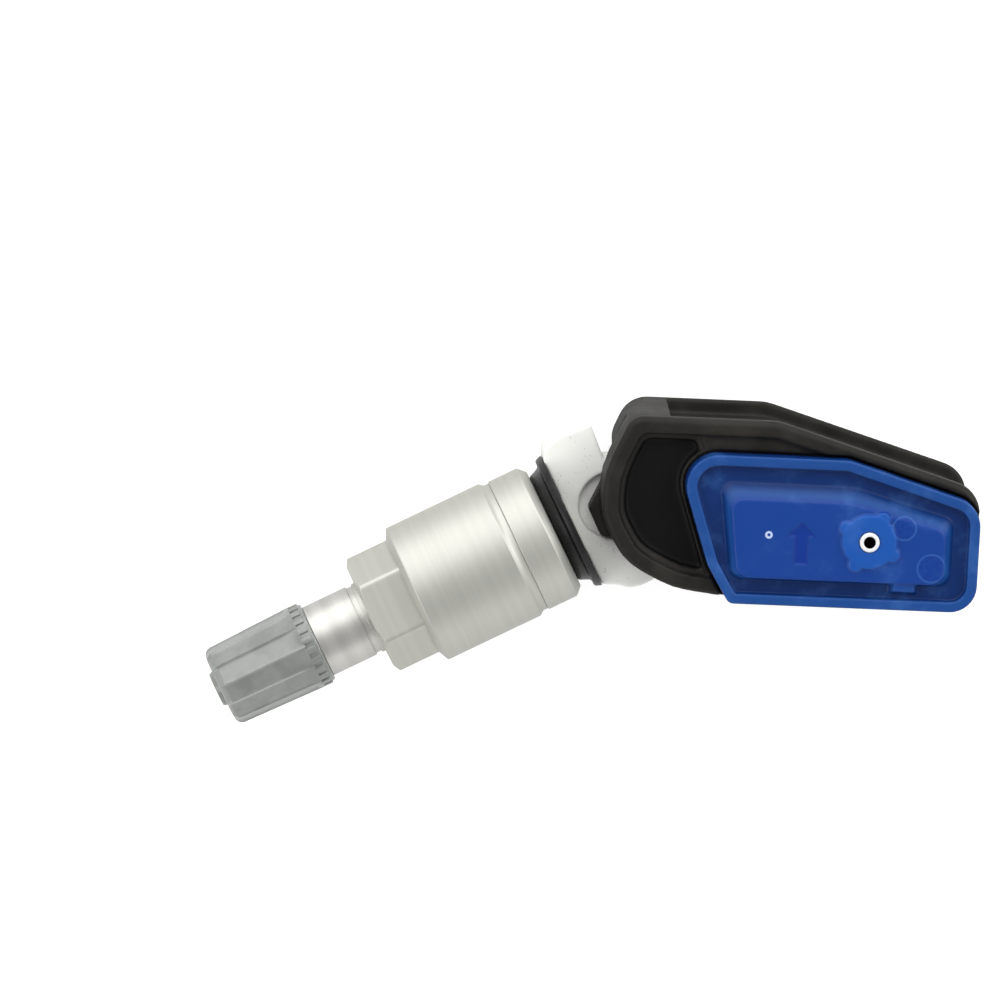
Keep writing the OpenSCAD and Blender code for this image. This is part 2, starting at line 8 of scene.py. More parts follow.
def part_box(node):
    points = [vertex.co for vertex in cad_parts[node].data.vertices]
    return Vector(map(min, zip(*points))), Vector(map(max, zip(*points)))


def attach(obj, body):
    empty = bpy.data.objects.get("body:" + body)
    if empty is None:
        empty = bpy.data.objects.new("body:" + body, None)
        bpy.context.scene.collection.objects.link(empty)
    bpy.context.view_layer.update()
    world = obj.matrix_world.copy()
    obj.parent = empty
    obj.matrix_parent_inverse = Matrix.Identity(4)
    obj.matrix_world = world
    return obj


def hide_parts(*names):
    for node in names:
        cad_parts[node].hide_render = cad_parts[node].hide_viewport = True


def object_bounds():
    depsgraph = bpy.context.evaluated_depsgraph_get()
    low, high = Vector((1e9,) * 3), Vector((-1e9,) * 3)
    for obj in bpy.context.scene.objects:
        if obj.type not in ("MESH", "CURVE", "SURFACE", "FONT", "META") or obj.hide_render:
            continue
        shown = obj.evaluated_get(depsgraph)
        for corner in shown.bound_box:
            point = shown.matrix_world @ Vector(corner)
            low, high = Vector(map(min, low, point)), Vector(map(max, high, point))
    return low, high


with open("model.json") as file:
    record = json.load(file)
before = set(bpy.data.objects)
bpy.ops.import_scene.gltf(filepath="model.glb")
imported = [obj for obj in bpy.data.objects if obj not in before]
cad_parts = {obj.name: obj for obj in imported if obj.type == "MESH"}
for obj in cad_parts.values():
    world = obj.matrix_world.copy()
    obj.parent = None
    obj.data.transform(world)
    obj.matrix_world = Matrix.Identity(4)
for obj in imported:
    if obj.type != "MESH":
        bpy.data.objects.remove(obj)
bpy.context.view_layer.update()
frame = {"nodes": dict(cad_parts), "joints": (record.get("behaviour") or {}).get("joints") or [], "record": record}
nodes = frame["nodes"]
mm = 0.001
print("frame loaded:", len(nodes), "nodes")

# where the hinge is, and how the sensor head lies in the part's frame
swing = [j for j in frame["joints"] if j["name"] == "valve_swing"][0]
hinge = Vector(swing["pos_m"])
headAngle = radians(-28.3)
headTurn = Matrix.Translation(hinge) @ Matrix.Rotation(headAngle, 4, "Z")
# a turned piece is drawn upright, with Z as the distance from the hinge towards the cap
valveTurn = Matrix.Translation(hinge) @ Matrix.Rotation(radians(-90), 4, "Y")

# angles in degrees, the distance in metres, the film in millimetres
photo = {
    "size": 1000, "pxPerMm": 9.0, "hingePx": (610.0, 501.7), "tilt": 10.2, "roll": 25.56,
    "distance": 1.5, "film": 36, "nearest": 0.05}


def viewAxes():
    tilt, roll = radians(photo["tilt"]), radians(photo["roll"])
    back = Vector((0, sin(tilt), cos(tilt)))
    flatUp = Vector((0, cos(tilt), -sin(tilt)))
    right = cos(roll) * Vector((1, 0, 0)) - sin(roll) * flatUp
    up = sin(roll) * Vector((1, 0, 0)) + cos(roll) * flatUp
    return right, up, back


def makeCamera():
    right, up, back = viewAxes()
    perPx = mm / photo["pxPerMm"]
    # the hinge shows at its own pixel of the photo
    across = (photo["hingePx"][0] - photo["size"] / 2) * perPx
    above = (photo["size"] / 2 - photo["hingePx"][1]) * perPx
    aim = hinge - right * across - up * above
    camData = bpy.data.cameras.new("photoCamera")
    camData.sensor_fit = "HORIZONTAL"
    camData.sensor_width = photo["film"]
    camData.lens = photo["film"] * photo["distance"] / (photo["size"] * perPx)
    camData.clip_start = photo["nearest"]
    cam = bpy.data.objects.new("photoCamera", camData)
    bpy.context.scene.collection.objects.link(cam)
    turn = Matrix((right, up, back)).transposed().to_4x4()
    cam.matrix_world = Matrix.Translation(aim + back * photo["distance"]) @ turn
    bpy.context.scene.camera = cam


makeCamera()
print("camera set")


def rgb(*screen):
    # a screen colour, 0 to 255, as the linear colour that shaders take
    linear = [c / 255 / 12.92 if c < 10 else ((c / 255 + 0.055) / 1.055) ** 2.4 for c in screen]
    return (*linear, 1)


def addNode(tree, kind, **values):
    node = tree.nodes.new("ShaderNode" + kind)
    for key, value in values.items():
        setattr(node, key, value)
    return node


def feed(tree, socket, value):
    # a node's output is linked to the socket, and a plain value is set on it
    if isinstance(value, bpy.types.NodeSocket):
        tree.links.new(value, socket)
    else:
        socket.default_value = value


def maths(tree, operation, *values):
    node = addNode(tree, "Math", operation=operation)
    for socket, value in zip(node.inputs, values):
        feed(tree, socket, value)
    return node.outputs[0]


def times(tree, a, b):
    return maths(tree, "MULTIPLY", a, b)


def mapRange(tree, value, low, high, toLow=0.0, toHigh=1.0):
    node = addNode(tree, "MapRange", interpolation_type="SMOOTHSTEP")
    feed(tree, node.inputs["Value"], value)
    for label, level in (("From Min", low), ("From Max", high), ("To Min", toLow), ("To Max", toHigh)):
        feed(tree, node.inputs[label], level)
    return node.outputs["Result"]


def mixColour(tree, mask, a, b):
    node = addNode(tree, "Mix", data_type="RGBA")
    # the colour sockets of this node are its seventh and eighth
    for number, value in ((0, mask), (6, a), (7, b)):
        feed(tree, node.inputs[number], value)
    return node.outputs[2]


def objectCoords(tree):
    return addNode(tree, "TexCoord").outputs["Object"]


def noiseAt(tree, place, scale, detail=2.0, roughness=0.5, dims="3D"):
    node = addNode(tree, "TexNoise", noise_dimensions=dims)
    feed(tree, node.inputs["W" if dims == "1D" else "Vector"], place)
    for label, value in (("Scale", scale), ("Detail", detail), ("Roughness", roughness)):
        feed(tree, node.inputs[label], value)
    return node.outputs["Fac"]


def newGroup(name, inputs, outputs):
    tree = bpy.data.node_groups.new(name, "ShaderNodeTree")
    for label, value in inputs.items():
        socket = tree.interface.new_socket(label, in_out="INPUT", socket_type="NodeSocketFloat")
        socket.default_value = value
    for label in outputs:
        tree.interface.new_socket(label, in_out="OUTPUT", socket_type="NodeSocketFloat")
    return tree, tree.nodes.new("NodeGroupInput").outputs, tree.nodes.new("NodeGroupOutput").inputs


def makeMouldGrain():
    # the fine, even grain of a moulding, and slow uneven patches
    tree, given, out = newGroup("mouldGrain", {"Grain": 9000.0, "Patches": 160.0}, ("Height", "Patch"))
    place = objectCoords(tree)
    feed(tree, out["Height"], noiseAt(tree, place, given["Grain"], 3, 0.6))
    feed(tree, out["Patch"], noiseAt(tree, place, given["Patches"], 3, 0.55))
    return tree


# how far a line wanders along the piece, in metres, and the bands' share of the height
lineMarks = {"wander": 0.0002, "bandShare": 0.25}


def makeTurnedLines():
    # lines round a turned piece, left by the tool as it moved along X
    tree, given, out = newGroup(
        "turnedLines", {"Lines": 9000.0, "Bands": 900.0, "Fuzz": 260.0}, ("Height", "Band"))
    place = objectCoords(tree)
    along = addNode(tree, "SeparateXYZ")
    feed(tree, along.inputs[0], place)
    wander = noiseAt(tree, place, given["Fuzz"], 2)
    x = maths(tree, "MULTIPLY_ADD", wander, lineMarks["wander"], along.outputs["X"])
    fine = noiseAt(tree, x, given["Lines"], 4, 0.7, "1D")
    band = noiseAt(tree, x, given["Bands"], 2, 0.5, "1D")
    feed(tree, out["Height"], maths(tree, "MULTIPLY_ADD", band, lineMarks["bandShare"], fine))
    feed(tree, out["Band"], band)
    return tree


# a pit fills the middle of a cell, "rare" says which cells have one, and "deep" is its share of the height
pitMarks = {"middle": (0.12, 0.3), "rareScale": 900, "rare": (0.56, 0.66), "deep": -1.2, "patchScale": 170}


def makeCastPits():
    # small sharp pits and a soft uneven skin
    tree, given, out = newGroup("castPits", {"Pits": 3600.0, "Skin": 1600.0}, ("Height", "Pit", "Patch"))
    place = objectCoords(tree)
    cells = addNode(tree, "TexVoronoi", feature="F1")
    feed(tree, cells.inputs["Vector"], place)
    feed(tree, cells.inputs["Scale"], given["Pits"])
    near = mapRange(tree, cells.outputs["Distance"], *pitMarks["middle"], 1.0, 0.0)
    kept = mapRange(tree, noiseAt(tree, place, pitMarks["rareScale"], 1), *pitMarks["rare"])
    pit = times(tree, near, kept)
    skin = noiseAt(tree, place, given["Skin"], 4, 0.6)
    feed(tree, out["Height"], maths(tree, "MULTIPLY_ADD", pit, pitMarks["deep"], skin))
    feed(tree, out["Pit"], pit)
    feed(tree, out["Patch"], noiseAt(tree, place, pitMarks["patchScale"], 3))
    return tree


groups = {"mouldGrain": makeMouldGrain(), "turnedLines": makeTurnedLines(), "castPits": makeCastPits()}


def useGroup(tree, name, **values):
    node = addNode(tree, "Group", node_tree=groups[name])
    for label, value in values.items():
        node.inputs[label].default_value = value
    return node.outputs


def newFinish(name, **sockets):
    # a material with its Principled shader, and the plain numbers set on that shader
    mat = bpy.data.materials.new(name)
    mat.use_nodes = True
    tree = mat.node_tree
    shader = tree.nodes["Principled BSDF"]
    for label, value in sockets.items():
        shader.inputs[label.replace("_", " ")].default_value = value
    return mat, tree, shader


def bumpInto(tree, shader, height, strength, distance):
    node = addNode(tree, "Bump")
    node.inputs["Strength"].default_value = strength
    node.inputs["Distance"].default_value = distance
    feed(tree, node.inputs["Height"], height)
    feed(tree, shader.inputs["Normal"], node.outputs["Normal"])


def inHeadAxes(tree):
    # object coordinates turned into the head's own axes
    turned = addNode(tree, "Mapping")
    turned.inputs["Rotation"].default_value = (0, 0, -headAngle)
    turned.inputs["Location"].default_value = -(Matrix.Rotation(-headAngle, 3, "Z") @ hinge)
    feed(tree, turned.inputs["Vector"], objectCoords(tree))
    parts = addNode(tree, "SeparateXYZ")
    feed(tree, parts.inputs[0], turned.outputs[0])
    return parts.outputs


def useGrain(tree, look):
    return useGroup(tree, "mouldGrain", Grain=look["grain"], Patches=look["patches"])


def twoTones(tree, mask, look):
    # the mask runs from the dark tone to the light one over the stretch called "spread"
    return mixColour(tree, mapRange(tree, mask, *look["spread"]), look["dark"], look["light"])


def setRough(tree, shader, mask, rough, low=0.3, high=0.7):
    feed(tree, shader.inputs["Roughness"], mapRange(tree, mask, low, high, *rough))


# in every look, "bump" is the strength and the height in metres
blackLook = {
    "dark": rgb(33, 32, 29), "light": rgb(46, 44, 40), "spread": (0.35, 0.7), "rough": (0.46, 0.58),
    "grain": 7500.0, "patches": 220.0, "bump": (0.35, 0.00004),
    # painted shade: the pocket's floor is darker than the rest, standing in for the shade down in the pocket; its
    # place up the head is in millimetres
    "floor": rgb(9, 9, 9), "shadeFloorZ": (5.7, 5.9, 6.3, 7.0)}


def makeBlackPlastic():
    mat, tree, shader = newFinish("blackPlastic", IOR=1.45, Specular_IOR_Level=0.2)
    grain = useGrain(tree, blackLook)
    z = inHeadAxes(tree)["Z"]
    below, start, end, above = [level * mm for level in blackLook["shadeFloorZ"]]
    # painted shade on the pocket's floor, by its height up the head
    paintedShade = times(tree, mapRange(tree, z, below, start), mapRange(tree, z, end, above, 1.0, 0.0))
    colour = mixColour(tree, paintedShade, twoTones(tree, grain["Patch"], blackLook), blackLook["floor"])
    feed(tree, shader.inputs["Base Color"], colour)
    setRough(tree, shader, grain["Patch"], blackLook["rough"])
    bumpInto(tree, shader, grain["Height"], *blackLook["bump"])
    return mat


# places, radii and lines are in millimetres in the head's own axes
blueLook = {
    "channel": rgb(10, 48, 110),
    # rim, raised middle and port boss: the heights between which each colour comes in; the low channel's dark tone
    # and the lighter raised parts are partly the black under the thin blue, partly painted shade and light
    "levels": (
        (8.75, 9.6, rgb(28, 74, 142)), (9.6, 10.15, rgb(20, 62, 142)), (10.15, 10.55, rgb(26, 84, 170))),
    "haze": rgb(66, 114, 186), "hazeSpread": (0.5, 0.8), "hazeShare": 0.4,
    "arrow": rgb(12, 52, 140), "arrowZ": (9.8, 9.95),
    "rough": (0.28, 0.38), "grain": 5200.0, "patches": 260.0, "bump": (0.14, 0.00003),
    # a small pale ring, a painted highlight round the rim of a gate mark: its centre, radius and line
    "gateGlint": (16.86, -1.36, 0.3, 0.17), "pale": rgb(190, 208, 240)}

# the arrow's foot, half its width and its length for shaft and point, and the softness of its edge
arrowLook = {"at": (20.5, -4.55), "shaft": (0.8, 3.1), "point": (1.7, 1.6), "edge": 0.06}

# two round mould marks with an uneven face: centre and radius, then what all of them share
markLook = {
    "marks": ((31.86, -0.06, 1.3), (35.12, -4.42, 1.55)), "edge": 0.08, "line": 0.16, "lineShare": 0.35,
    "spotScale": 2600.0, "spots": (0.42, 0.6), "spotShare": 0.55, "high": 2.0}


def distanceFrom(tree, place, x, y):
    dx = maths(tree, "SUBTRACT", place["X"], x * mm)
    dy = maths(tree, "SUBTRACT", place["Y"], y * mm)
    squares = maths(tree, "ADD", times(tree, dx, dx), times(tree, dy, dy))
    return maths(tree, "SQRT", squares)


def ringMask(tree, far, radius, line):
    # full for two fifths of the line's width to each side, and gone at its whole width
    off = maths(tree, "ABSOLUTE", maths(tree, "SUBTRACT", far, radius * mm))
    return mapRange(tree, off, line * 0.4 * mm, line * mm, 1.0, 0.0)


def arrowMask(tree, place):
    edge = arrowLook["edge"] * mm
    shaftHalf, shaftLong = [size * mm for size in arrowLook["shaft"]]
    pointHalf, pointLong = [size * mm for size in arrowLook["point"]]
    across = maths(tree, "ABSOLUTE", maths(tree, "SUBTRACT", place["X"], arrowLook["at"][0] * mm))
    up = maths(tree, "SUBTRACT", place["Y"], arrowLook["at"][1] * mm)
    shaft = mapRange(tree, across, shaftHalf, shaftHalf + edge, 1.0, 0.0)
    shaft = times(tree, shaft, mapRange(tree, up, 0.0, edge))
    shaft = times(tree, shaft, mapRange(tree, up, shaftLong, shaftLong + edge, 1.0, 0.0))
    # the point narrows to nothing over its length
    narrowing = pointHalf / pointLong
    offset = maths(tree, "SUBTRACT", across, (shaftLong + pointLong) * narrowing)
    slope = maths(tree, "MULTIPLY_ADD", up, narrowing, offset)
    point = mapRange(tree, slope, 0.0, edge, 1.0, 0.0)
    point = times(tree, point, mapRange(tree, up, shaftLong - edge, shaftLong))
    return maths(tree, "MAXIMUM", shaft, point)


def makeBluePlastic():
    mat, tree, shader = newFinish(
        "bluePlastic", IOR=1.45, Specular_IOR_Level=0.28, Subsurface_Weight=0.1, Subsurface_Scale=0.001,
        Subsurface_Radius=(0.1, 0.35, 1.0))
    place = inHeadAxes(tree)
    grain = useGrain(tree, blueLook)
    colour = blueLook["channel"]
    # colour by height: painted shade in the low channel and painted light on the raised parts, besides the black
    # showing through the thin blue
    for low, high, tone in blueLook["levels"]:
        colour = mixColour(tree, mapRange(tree, place["Z"], low * mm, high * mm), colour, tone)
    haze = mapRange(tree, grain["Patch"], *blueLook["hazeSpread"])
    colour = mixColour(tree, times(tree, haze, blueLook["hazeShare"]), colour, blueLook["haze"])
    onTop = mapRange(tree, place["Z"], *[level * mm for level in blueLook["arrowZ"]])
    colour = mixColour(tree, times(tree, arrowMask(tree, place), onTop), colour, blueLook["arrow"])
    height = grain["Height"]
    for x, y, radius in markLook["marks"]:
        far = distanceFrom(tree, place, x, y)
        inside = mapRange(tree, far, radius * mm, (radius + markLook["edge"]) * mm, 1.0, 0.0)
        spots = noiseAt(tree, objectCoords(tree), markLook["spotScale"], 1)
        uneven = times(tree, inside, mapRange(tree, spots, *markLook["spots"]))
        colour = mixColour(tree, times(tree, uneven, markLook["spotShare"]), colour, blueLook["arrow"])
        ring = ringMask(tree, far, radius, markLook["line"])
        colour = mixColour(tree, times(tree, ring, markLook["lineShare"]), colour, blueLook["haze"])
        raised = times(tree, maths(tree, "ADD", ring, uneven), markLook["high"])
        height = maths(tree, "ADD", height, raised)
    # painted highlight: the gate mark's rim as a pale ring in the colour
    x, y, radius, line = blueLook["gateGlint"]
    gateGlint = ringMask(tree, distanceFrom(tree, place, x, y), radius, line)
    colour = mixColour(tree, gateGlint, colour, blueLook["pale"])
    feed(tree, shader.inputs["Base Color"], colour)
    setRough(tree, shader, grain["Patch"], blueLook["rough"])
    bumpInto(tree, shader, height, *blueLook["bump"])
    return mat


sleeveLook = {
    "light": rgb(204, 204, 197), "dark": rgb(200, 200, 193), "spread": (0.35, 0.65), "rough": (0.52, 0.56),
    "lines": 9000.0, "bands": 1125.0, "bump": (0.035, 0.000006)}
stemFinishLook = {
    "light": rgb(212, 211, 206), "dark": rgb(202, 201, 196), "spread": (0.35, 0.65), "rough": (0.42, 0.5),
    "lines": 6500.0, "bands": 812.5, "bump": (0.1, 0.000006)}


def makeTurnedAlloy(name, look):
    mat, tree, shader = newFinish(name, Metallic=1.0)
    marks = useGroup(tree, "turnedLines", Lines=look["lines"], Bands=look["bands"])
    feed(tree, shader.inputs["Base Color"], twoTones(tree, marks["Band"], look))
    setRough(tree, shader, marks["Height"], look["rough"], 0.5, 1.0)
    bumpInto(tree, shader, marks["Height"], *look["bump"])
    return mat


# partly painted light: the foot's near-white, non-metal tone is lighter than the bare alloy, for the light its
# face catches; the pits and uneven skin are its own
castLook = {
    "light": rgb(254, 254, 249), "dark": rgb(248, 248, 243), "pit": rgb(190, 188, 178),
    "spread": (0.35, 0.65), "rough": (0.5, 0.6), "bump": (0.3, 0.00005)}


def makeCastAlloy():
    mat, tree, shader = newFinish("castAlloy", IOR=1.5)
    cast = useGroup(tree, "castPits")
    tone = twoTones(tree, cast["Patch"], castLook)
    feed(tree, shader.inputs["Base Color"], mixColour(tree, cast["Pit"], tone, castLook["pit"]))
    setRough(tree, shader, cast["Patch"], castLook["rough"])
    bumpInto(tree, shader, cast["Height"], *castLook["bump"])
    return mat


rubberLook = {
    "dark": rgb(10, 10, 11), "light": rgb(22, 22, 23), "spread": (0.35, 0.7), "rough": (0.22, 0.36),
    "grain": 6000.0, "patches": 420.0, "bump": (0.3, 0.00003)}
greyLook = {
    "dark": rgb(118, 122, 117), "light": rgb(132, 136, 131), "spread": (0.35, 0.65), "rough": (0.3, 0.42),
    "grain": 5200.0, "patches": 380.0, "bump": (0.15, 0.00003)}
plainLook = {
    "spread": (0.35, 0.65), "uneven": 0.12, "grain": 7200.0, "patches": 600.0, "bump": (0.2, 0.00002)}


def makeGrained(name, look, **sockets):
    mat, tree, shader = newFinish(name, **sockets)
    grain = useGrain(tree, look)
    feed(tree, shader.inputs["Base Color"], twoTones(tree, grain["Patch"], look))
    setRough(tree, shader, grain["Patch"], look["rough"])
    bumpInto(tree, shader, grain["Height"], *look["bump"])
    return mat


def makePlain(name, dark, light, rough, metallic=0.0):
    # a quiet two-tone finish for the small pieces inside
    look = {**plainLook, "dark": dark, "light": light, "rough": (rough, rough + plainLook["uneven"])}
    return makeGrained(name, look, Metallic=metallic)


# "hole" is where the painted shade down the hole gives way to white, from the port's middle in millimetres
whiteLook = {
    "dark": rgb(8, 8, 10), "light": rgb(236, 238, 240), "hole": (0.64, 0.7),
    "grain": 5000.0, "patches": 900.0, "bump": (0.1, 0.00002)}


def makePortWhite():
    # white silicone, with painted shade down the hole
    low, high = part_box("port_seal")
    middle = headTurn.inverted() @ ((low + high) / 2)
    mat, tree, shader = newFinish("whiteSeal", IOR=1.42, Roughness=0.4)
    far = distanceFrom(tree, inHeadAxes(tree), middle.x / mm, middle.y / mm)
    outside = mapRange(tree, far, *[radius * mm for radius in whiteLook["hole"]])
    feed(tree, shader.inputs["Base Color"], mixColour(tree, outside, whiteLook["dark"], whiteLook["light"]))
    bumpInto(tree, shader, useGrain(tree, whiteLook)["Height"], *whiteLook["bump"])
    return mat


boardLook = {
    "lacquer": rgb(16, 88, 50), "run": rgb(34, 122, 66), "rough": (0.35, 0.45), "bump": (0.3, 0.00003),
    "pattern": {"Scale": 900.0, "Mortar Size": 0.06, "Brick Width": 1.3, "Row Height": 0.6}}


def makeBoard():
    # green board with paler copper runs under the lacquer
    mat, tree, shader = newFinish("boardLacquer", IOR=1.5, Coat_Weight=0.4, Coat_Roughness=0.15)
    runs = addNode(tree, "TexBrick", offset=0.5)
    feed(tree, runs.inputs["Vector"], objectCoords(tree))
    for label, value in boardLook["pattern"].items():
        runs.inputs[label].default_value = value
    run = runs.outputs["Fac"]
    feed(tree, shader.inputs["Base Color"], mixColour(tree, run, boardLook["lacquer"], boardLook["run"]))
    setRough(tree, shader, run, boardLook["rough"], 0, 1)
    bumpInto(tree, shader, run, *boardLook["bump"])
    return mat


wireLook = {
    "gap": rgb(110, 52, 24), "wire": rgb(206, 118, 62), "rough": (0.5, 0.28), "turns": 1500,
    "bump": (0.8, 0.00006)}


def makeWinding():
    # enamelled wire, laid turn by turn along the coil
    mat, tree, shader = newFinish("copperWire", Metallic=0.9)
    turned = addNode(tree, "Mapping")
    turned.inputs["Rotation"].default_value = (0, 0, -headAngle)
    feed(tree, turned.inputs["Vector"], objectCoords(tree))
    wires = addNode(tree, "TexWave", wave_type="BANDS", bands_direction="X")
    feed(tree, wires.inputs["Vector"], turned.outputs[0])
    wires.inputs["Scale"].default_value = wireLook["turns"]
    wire = wires.outputs["Fac"]
    feed(tree, shader.inputs["Base Color"], mixColour(tree, wire, wireLook["gap"], wireLook["wire"]))
    setRough(tree, shader, wire, wireLook["rough"], 0, 1)
    bumpInto(tree, shader, wire, *wireLook["bump"])
    return mat


finishes = {
    "black_plastic": makeBlackPlastic(),
    "blue_plastic": makeBluePlastic(),
    "circuit_board": makeBoard(),
    "battery_steel": makePlain("batteryCan", rgb(176, 176, 174), rgb(206, 206, 202), 0.28, 1.0),
    "nickel_strip": makePlain("nickelStrip", rgb(182, 178, 166), rgb(206, 202, 190), 0.3, 1.0),
    "chip_black": makePlain("chipResin", rgb(26, 26, 28), rgb(40, 40, 42), 0.5),
    "crystal_can": makePlain("crystalCan", rgb(196, 196, 190), rgb(216, 216, 210), 0.25, 1.0),
    "ferrite": makePlain("ferrite", rgb(44, 42, 42), rgb(62, 60, 58), 0.6),
    "copper_wire": makeWinding(),
    "antenna_metal": makePlain("antennaStrip", rgb(196, 168, 112), rgb(220, 192, 136), 0.3, 1.0),
    "white_seal": makePortWhite(),
    "steel": makePlain("screwSteel", rgb(150, 150, 148), rgb(182, 182, 178), 0.32, 1.0),
    "valve_alloy": makeTurnedAlloy("stemAlloy", stemFinishLook),
    "black_rubber": makeGrained("blackRubber", rubberLook, IOR=1.45, Specular_IOR_Level=0.4),
    "turned_alloy": makeTurnedAlloy("sleeveAlloy", sleeveLook),
    "grey_cap": makeGrained(
        "capPlastic", greyLook, IOR=1.5, Subsurface_Weight=0.1, Subsurface_Scale=0.002,
        Subsurface_Radius=(0.8, 0.9, 0.8), Coat_Weight=1.0, Coat_IOR=1.8, Coat_Roughness=0.26),
    "brass": makePlain("brass", rgb(196, 160, 86), rgb(220, 186, 112), 0.28, 1.0),
    "ptfe": makePlain("whiteRing", rgb(226, 226, 218), rgb(240, 240, 234), 0.45),
    "spring_steel": makePlain("springSteel", rgb(160, 160, 158), rgb(190, 190, 186), 0.3, 1.0),
}
castAlloy = makeCastAlloy()
print("finishes made:", len(finishes) + 1)

# every node carried over gets the finish of its own slot
slotOf = {row["node"]: row["material_slot"] for row in frame["record"]["subparts"]}
for name, obj in nodes.items():
    for s in obj.material_slots:
        s.material = finishes[slotOf[name]]


# edges sharper than this many degrees stay sharp, and points nearer than "weld", in millimetres, are one
pieceLook = {"sharp": 38, "weight": 80, "weld": 0.004, "ease": 0.5, "cornerSteps": 4, "steps": 128}


def finishPiece(name, bm, turn, body, node, finish=None, sharp=pieceLook["sharp"], weighted=True):
    # bm is in millimetres, in its own axes; turn takes it to the part's frame
    bmesh.ops.transform(bm, matrix=turn @ Matrix.Scale(mm, 4), verts=bm.verts)
    mesh = bpy.data.meshes.new(name)
    bm.to_mesh(mesh)
    bm.free()
    for poly in mesh.polygons:
        poly.use_smooth = True
    mesh.set_sharp_from_angle(angle=radians(sharp))
    obj = bpy.data.objects.new(name, mesh)
    bpy.context.scene.collection.objects.link(obj)
    mesh.materials.append(finish or finishes[slotOf[node]])
    if weighted:
        modifier = obj.modifiers.new("evenShading", "WEIGHTED_NORMAL")
        modifier.keep_sharp = True
        modifier.weight = pieceLook["weight"]
    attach(obj, body)
    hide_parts(node)
    return obj


def copyNode(node, turn):
    # a merged copy of a node's mesh, in millimetres and in the piece's own axes
    bm = bmesh.new()
    bm.from_mesh(nodes[node].data)
    bmesh.ops.transform(bm, matrix=(turn @ Matrix.Scale(mm, 4)).inverted(), verts=bm.verts)
    bmesh.ops.remove_doubles(bm, verts=bm.verts, dist=pieceLook["weld"])
    return bm


def softened(bm, grid, passes):
    # the same solid with its edges worn soft: an even skin of small faces, eased
    mesh = bpy.data.meshes.new("soft")
    bm.to_mesh(mesh)
    bm.free()
    obj = bpy.data.objects.new("soft", mesh)
    bpy.context.scene.collection.objects.link(obj)
    skin = obj.modifiers.new("skin", "REMESH")
    skin.mode = "VOXEL"
    skin.voxel_size = grid
    ease = obj.modifiers.new("ease", "SMOOTH")
    ease.factor = pieceLook["ease"]
    ease.iterations = passes
    worn = obj.evaluated_get(bpy.context.evaluated_depsgraph_get())
    soft = bmesh.new()
    soft.from_mesh(worn.to_mesh())
    worn.to_mesh_clear()
    bpy.data.objects.remove(obj)
    bpy.data.meshes.remove(mesh)
    bmesh.ops.recalc_face_normals(soft, faces=soft.faces)
    print("softened:", len(soft.verts), "points,", sum(len(f.verts) - 2 for f in soft.faces), "triangles")
    return soft


def turnProfile(points, rounds, steps=pieceLook["steps"]):
    # points run round the section as (radius, place along the valve)
    # rounds gives a radius for each corner that has one, by the corner's number
    bm = bmesh.new()
    corners = [bm.verts.new((r, 0, s)) for r, s in points]
    bm.faces.new(corners)
    for number, radius in rounds.items():
        bmesh.ops.bevel(
            bm, geom=[corners[number]], offset=radius, offset_type="OFFSET",
            segments=pieceLook["cornerSteps"], profile=0.5, affect="VERTICES", clamp_overlap=False,
            material=-1)
    bmesh.ops.delete(bm, geom=list(bm.faces), context="FACES_ONLY")
    onAxis = [e for e in bm.edges if all(abs(v.co.x) < 1e-6 for v in e.verts)]
    bmesh.ops.delete(bm, geom=onAxis, context="EDGES")
    bmesh.ops.spin(
        bm, geom=list(bm.verts) + list(bm.edges), cent=(0, 0, 0), axis=(0, 0, 1), dvec=(0, 0, 0),
        angle=2 * pi, steps=steps, use_merge=True, use_duplicate=False)
    bmesh.ops.remove_doubles(bm, verts=bm.verts, dist=0.0005)
    bmesh.ops.recalc_face_normals(bm, faces=bm.faces)
    return bm


def turnRound(bm, angle):
    # turns a piece about the valve's axis
    bmesh.ops.rotate(bm, cent=(0, 0, 0), matrix=Matrix.Rotation(angle, 3, "Z"), verts=bm.verts)


def alongValve(node):
    # where a node starts and ends from the hinge, and its radius, in millimetres
    low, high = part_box(node)
    return (hinge.x - high.x) / mm, (hinge.x - low.x) / mm, high.y / mm


# all sizes of the pieces below are in millimetres
housingLook = {"grid": 0.235, "passes": 5}


def makeHousing():
    bm = softened(copyNode("housing", headTurn), **housingLook)
    return finishPiece("sensorHousing", bm, headTurn, "sensor_head", "housing", sharp=180)


lidLook = {"grid": 0.13, "passes": 5}


def makeLid():
    bm = softened(copyNode("lid", headTurn), **lidLook)
    return finishPiece("blueLid", bm, headTurn, "sensor_head", "lid", sharp=180)


portLook = {"hole": 0.63, "round": 0.16, "steps": 64}


def makePortSeal():
    low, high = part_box("port_seal")
    centre = (low + high) / 2
    outer = (high.x - low.x) / 2 / mm
    turn = Matrix.Translation((centre.x, centre.y, 0))
    bottom, top = low.z / mm, high.z / mm
    points = [(portLook["hole"], bottom), (outer, bottom), (outer, top), (portLook["hole"], top)]
    bm = turnProfile(points, {2: portLook["round"], 3: portLook["round"]}, portLook["steps"])
    return finishPiece("portRing", bm, turn, "sensor_head", "port_seal")


makeHousing()
makeLid()
makePortSeal()
print("sensor head made")

footLook = {"grid": 0.14, "passes": 7, "cutAt": 4.74, "half": 2.5}


